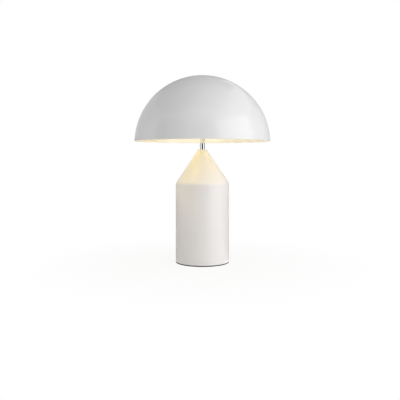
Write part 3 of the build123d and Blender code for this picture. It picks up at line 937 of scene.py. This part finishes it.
holder_cap_outline = rounded(
    [
        (tie_tube_radius + tie_tube_gap, holder_start),
        (holder_cap_radius, holder_start),
        (holder_cap_radius, holder_cap_end),
        (holder_core_radius + holder_gap, holder_cap_end),
        (holder_core_radius + holder_gap, holder_core_start),
        (holder_bore, holder_core_start),
        (holder_bore, holder_chamber),
        (tie_tube_radius + tie_tube_gap, holder_chamber),
    ],
    {1: 1.2},
)
cap_ribs = {
    "Count": rib_count,
    "Circle Radius": rib_circle * MM,
    "Rib Radius": rib_radius * MM,
    "Rib Length": rib_length * MM,
    "Middle": rib_middle * MM,
    "Finish": finishes["holder_plastic"],
}
holder_sleeve_outline = rounded(
    [
        (holder_cap_radius + holder_gap, holder_sleeve_start),
        (holder_sleeve_radius, holder_sleeve_start),
        (holder_sleeve_radius, holder_mouth),
        (holder_bore, holder_mouth),
        (holder_bore, holder_core_end),
        (holder_core_radius + holder_gap, holder_core_end),
        (holder_core_radius + holder_gap, holder_cap_end + holder_gap),
        (holder_cap_radius + holder_gap, holder_cap_end + holder_gap),
    ],
    {0: 0.3, 1: 0.5, 2: 1.0, 3: 0.6},
)
shell_heights = many_heights(holder_core_end, shell_length, steps=60)
thread_shell_outline = [
    *((shell_radius + shell_wall, height) for height in shell_heights),
    *((shell_radius, height) for height in shell_heights[:0:-1]),
    (shell_radius, holder_core_end + shell_wall),
    (shell_floor_hole, holder_core_end + shell_wall),
    (shell_floor_hole, holder_core_end),
]
cap_heights = many_heights(cap_start, cap_length, steps=72)
bulb_cap_outline = [
    *((cap_radius, height) for height in cap_heights),
    *((cap_radius - cap_wall, height) for height in cap_heights[::-1]),
    (cap_floor_hole, cap_start),
    (cap_floor_hole, cap_start - cap_wall),
    (cap_radius - cap_floor_inset, cap_start - cap_wall),
]
housing_outline = rounded(
    [
        (housing_bore, cap_end - housing_plug_length),
        (housing_plug_radius, cap_end - housing_plug_length),
        (housing_plug_radius, cap_end),
        (bulb_neck_radius, cap_end),
        (seam_radius, globe_seam),
        (board_seat_radius, globe_seam),
        (board_seat_radius, globe_seam - housing_wall),
        (housing_cavity_radius, globe_seam - housing_wall),
        (housing_bore, cap_end + housing_wall),
    ],
    {3: 0.7, 4: 0.5},
)
inner_globe = globe_radius - globe_wall
inner_edge = (across_ball(globe_centre, inner_globe, globe_seam), globe_seam)
globe_outside = ball_arc(globe_centre, globe_radius, (seam_radius, globe_seam), steps=48)
globe_inside = ball_arc(globe_centre, inner_globe, inner_edge, steps=48)
tip_outline = rounded(
    [(0.0, tip_start), (tip_radius, tip_start), (tip_radius, tip_end), (0.0, tip_end)],
    {1: 0.6},
)
holder_thread = thread_values(holder_thread_depth, holder_thread_start, holder_thread_end, "brass")
bulb_thread = thread_values(bulb_thread_depth, bulb_thread_start, bulb_thread_end, "nickel")
arm_pieces = (
    ("holder_grip", "holder_cap", holder_cap_outline, holder_turns, rib_tree, cap_ribs),
    ("holder_skirt", "holder_sleeve", holder_sleeve_outline, holder_turns, None, None),
    ("holder_thread", "thread_shell", thread_shell_outline, thread_turns, thread_tree, holder_thread),
    ("bulb_thread", "bulb_cap", bulb_cap_outline, thread_turns, thread_tree, bulb_thread),
    ("bulb_flare", "bulb_housing", housing_outline, holder_turns, None, None),
    ("bulb_opal", "bulb_globe", globe_outside + globe_inside[::-1], holder_turns, None, None),
    ("bulb_contact", "bulb_tip", tip_outline, small_turns, None, None),
)
for side, laid in arm_matrices.items():
    for name, node, outline, turns, tree, values in arm_pieces:
        mesh = turned_mesh(outline, turns)
        if tree:
            mesh = grown(mesh, tree, values)
        mesh.transform(laid)
        finish_piece(f"{name}_{side}", mesh, f"{node}_{side}")


# Every other piece keeps its solid's own form, welded so that its round faces are shaded round

weld_reach = 0.001
for node in slot_of:
    if node in dressed:
        continue
    welded = bmesh.new()
    welded.from_mesh(nodes[node].data)
    bmesh.ops.remove_doubles(welded, verts=welded.verts, dist=weld_reach * MM)
    mesh = bpy.data.meshes.new(node)
    welded.to_mesh(mesh)
    welded.free()
    mesh.transform(nodes[node].matrix_world)
    finish_piece(f"{node}_form", mesh, node, sharp_above=25.0)


# Studio

def stage_plane(name, size, place, facing, material):
    """A flat sheet of the studio, facing a direction."""
    mesh = bpy.data.meshes.new(name)
    x, y = size[0] / 2, size[1] / 2
    mesh.from_pydata([(-x, -y, 0), (x, -y, 0), (x, y, 0), (-x, y, 0)], [], [(0, 1, 2, 3)])
    mesh.materials.append(material)
    sheet = bpy.data.objects.new(name, mesh)
    sheet.location = place
    sheet.rotation_mode = "QUATERNION"
    sheet.rotation_quaternion = Vector(facing).to_track_quat("Z", "Y")
    bpy.context.scene.collection.objects.link(sheet)
    return sheet


def seen_rays(sheet):
    """1 for what the camera sees, directly, in a reflection or through glass, and 1 for reflections alone."""
    camera, glossy, transmission = (
        sheet.node("ShaderNodeLightPath", output=f"Is {kind} Ray")
        for kind in ("Camera", "Glossy", "Transmission")
    )
    return (camera + glossy + transmission).clamp(), glossy


def floor_material():
    """Pale floor, seen as white as the background, but for a share of its shade near the lamp.

    Reflections see painted light on it on the side of the key softbox and painted shade behind the lamp.
    """
    material, sheet = start_material("studio_floor")
    position = sheet.node("ShaderNodeNewGeometry", output="Position")
    distance = sheet.node("ShaderNodeVectorMath", {"operation": "LENGTH"}, {0: position}, output="Value")
    seen, glossy = seen_rays(sheet)
    lifted = remap(distance, 0.1, 0.5, 0.9, 1.0)
    plain = sheet.node("ShaderNodeBsdfDiffuse", {}, {"Color": (0.82, 0.82, 0.82, 1.0)})
    across = sheet.node("ShaderNodeSeparateXYZ", {}, {"Vector": position}, output="X")
    depth = sheet.node("ShaderNodeSeparateXYZ", {}, {"Vector": position}, output="Y")
    bearing = across.maths("ARCTAN2", across, depth * -1.0)
    # Painted highlight towards the key softbox and painted shade behind the lamp, on the floor as reflections
    # see it
    sheen_starts = remap(bearing, radians(20), radians(28), 0.0, 1.0)
    sheen_ends = remap(bearing, radians(84), radians(92), 1.0, 0.0)
    behind = remap(bearing.maths("ABSOLUTE", bearing), radians(92), radians(108), 0.0, 1.0)
    strength = (sheen_starts * sheen_ends - behind * 0.5) * glossy + 1.0
    white = sheet.node("ShaderNodeEmission", {}, {"Color": (1.0, 1.0, 1.0, 1.0), "Strength": strength})
    mixed = sheet.node("ShaderNodeMixShader", {}, {0: seen * lifted, 1: plain, 2: white})
    sheet.node("ShaderNodeOutputMaterial", {}, {"Surface": mixed})
    return material


def card_material(name, brightness):
    """An even grey that shines by itself."""
    material, sheet = start_material(name)
    tone = (brightness, brightness, brightness, 1.0)
    card = sheet.node("ShaderNodeEmission", {}, {"Color": tone, "Strength": 1.0})
    sheet.node("ShaderNodeOutputMaterial", {}, {"Surface": card})
    return material


def softbox(name, size, place, aim, power, colour=(1.0, 1.0, 1.0), spread=180, mirrored=True):
    """A rectangular soft light, seen by reflections unless told otherwise."""
    light = bpy.data.lights.new(name, "AREA")
    light.shape = "RECTANGLE"
    light.size, light.size_y = size
    light.spread = radians(spread)
    light.energy = power
    light.color = colour
    lamp = bpy.data.objects.new(name, light)
    lamp.location = place
    lamp.rotation_mode = "QUATERNION"
    lamp.rotation_quaternion = (Vector(place) - Vector(aim)).to_track_quat("Z", "Y")
    lamp.visible_camera = False
    lamp.visible_glossy = mirrored
    bpy.context.scene.collection.objects.link(lamp)


def warm_glow(name, place, radius, power, colour, body=None):
    """Light of the lit bulbs: an unseen ball of light round each globe, and where the dome throws it back."""
    light = bpy.data.lights.new(name, "POINT")
    light.shadow_soft_size = radius * MM
    light.use_soft_falloff = False
    light.energy = power
    light.color = colour
    lamp = bpy.data.objects.new(name, light)
    lamp.location = place
    lamp.visible_camera = False
    bpy.context.scene.collection.objects.link(lamp)
    if body:
        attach(lamp, body)


def round_the_lamp(angle, distance, height):
    """A place at this angle to the right of the camera's side, seen from the lamp."""
    return (distance * sin(radians(angle)), -distance * cos(radians(angle)), height)


def card(name, size, place, aim, brightness, shades_light=False):
    """A card that only reflections see, or that also takes the place of part of the room's light."""
    facing = Vector(aim) - Vector(place)
    sheet = stage_plane(name, size, place, facing, card_material(name, brightness))
    for switch in ("visible_camera", "visible_shadow", "visible_transmission"):
        setattr(sheet, switch, False)
    sheet.visible_diffuse = shades_light


floor_size = (60.0, 60.0)
flag_distance, flag_level, flag_height = 2.3, 0.6, 2.6
strip_level, strip_height = 0.36, 0.12

stage_plane("floor", floor_size, (0.0, 0.0, 0.0), (0.0, 0.0, 1.0), floor_material())
for name, bearing, width, brightness, shades_light in (
    ("front_flag", 5, 1.8, 0.01, False),
    ("front_left_flag", -51, 2.5, 0.15, False),
    ("left_back_flag", -135, 3.2, 0.7, False),
    ("right_back_flag", 128, 4.0, 0.5, True),
):
    place = round_the_lamp(bearing, flag_distance, flag_level)
    card(name, (width, flag_height), place, (0.0, 0.0, flag_level), brightness, shades_light)
card("top_back_flag", (3.0, 1.25), (-1.0, 2.25, 1.58), (-0.6, 0.0, 0.9), 0.4)
card("ceiling_flag", (3.4, 3.4), (-0.7, 0.5, 2.2), (-0.7, 0.5, 0.0), 0.42, shades_light=True)

# Low strips that only the stem's reflection shows
for name, bearing, distance, width, brightness in (
    ("stem_front_flag", 3, 1.4, 2.4, 0.005),
    ("stem_right_card", 57, 1.45, 1.96, 1.2),
    ("stem_left_card", -58, 1.45, 1.96, 1.0),
    ("stem_left_edge_flag", -132, 1.5, 2.1, 0.12),
    ("stem_right_edge_flag", 126, 1.5, 2.75, 0.1),
):
    place = round_the_lamp(bearing, distance, strip_level)
    card(name, (width, strip_height), place, (0.0, 0.0, strip_level), brightness)

lamp_middle = (0.0, 0.0, 0.3)
globe_glow_radius = globe_radius + 1.5
dome_glow_radius = 20.0
bulb_yellow = (1.0, 0.76, 0.12)
softbox("key_softbox", (2.0, 1.3), round_the_lamp(56, 1.6, 0.75), lamp_middle, 13.7)
softbox("fill_softbox", (1.2, 1.2), round_the_lamp(-97, 2.0, 0.6), lamp_middle, 1.5)
softbox(
    "shoulder_glow",
    (0.06, 0.03),
    place=(-0.15, -0.15, 0.27),
    aim=(-0.05, -0.05, 0.165),
    power=0.0055,
    colour=(1.0, 0.8, 0.4),
    spread=70,
    mirrored=False,
)
for side, place, power in (("left", -globe_centre, 0.084), ("right", globe_centre, 0.1)):
    globe = (place * MM, 0.0, hub_height * MM)
    body = body_of[f"bulb_globe_{side}"]
    warm_glow(f"{side}_bulb_glow", globe, globe_glow_radius, power, bulb_yellow, body)
warm_glow("front_glow", (-0.092, -0.08, 0.38), dome_glow_radius, 0.1, (1.0, 0.76, 0.15))
warm_glow("back_glow", (0.006, 0.115, 0.39), dome_glow_radius, 0.115, (1.0, 0.93, 0.75))

world = bpy.data.worlds.new("studio")
bpy.context.scene.world = world
world.use_nodes = True
world.node_tree.nodes.clear()
sky = Value(world.node_tree)
seen, _ = seen_rays(sky)
ambient = sky.node("ShaderNodeBackground", {}, {"Color": (1.0, 1.0, 1.0, 1.0), "Strength": 0.6})
backdrop = sky.node("ShaderNodeBackground", {}, {"Color": (1.0, 1.0, 1.0, 1.0), "Strength": 1.0})
around = sky.node("ShaderNodeMixShader", {}, {0: seen, 1: ambient, 2: backdrop})
sky.node("ShaderNodeOutputWorld", {}, {"Surface": around})

camera_data = bpy.data.cameras.new("camera")
camera_data.sensor_width = 36.0
camera_data.lens = 48.6
camera_data.shift_x = -0.006
camera_data.shift_y = -0.1035
camera = bpy.data.objects.new("camera", camera_data)
camera.location = (0.0, -1.524, 0.291)
camera.rotation_euler = (pi / 2, 0.0, 0.0)
bpy.context.scene.collection.objects.link(camera)
bpy.context.scene.camera = camera
bpy.context.scene.view_settings.view_transform = "Standard"
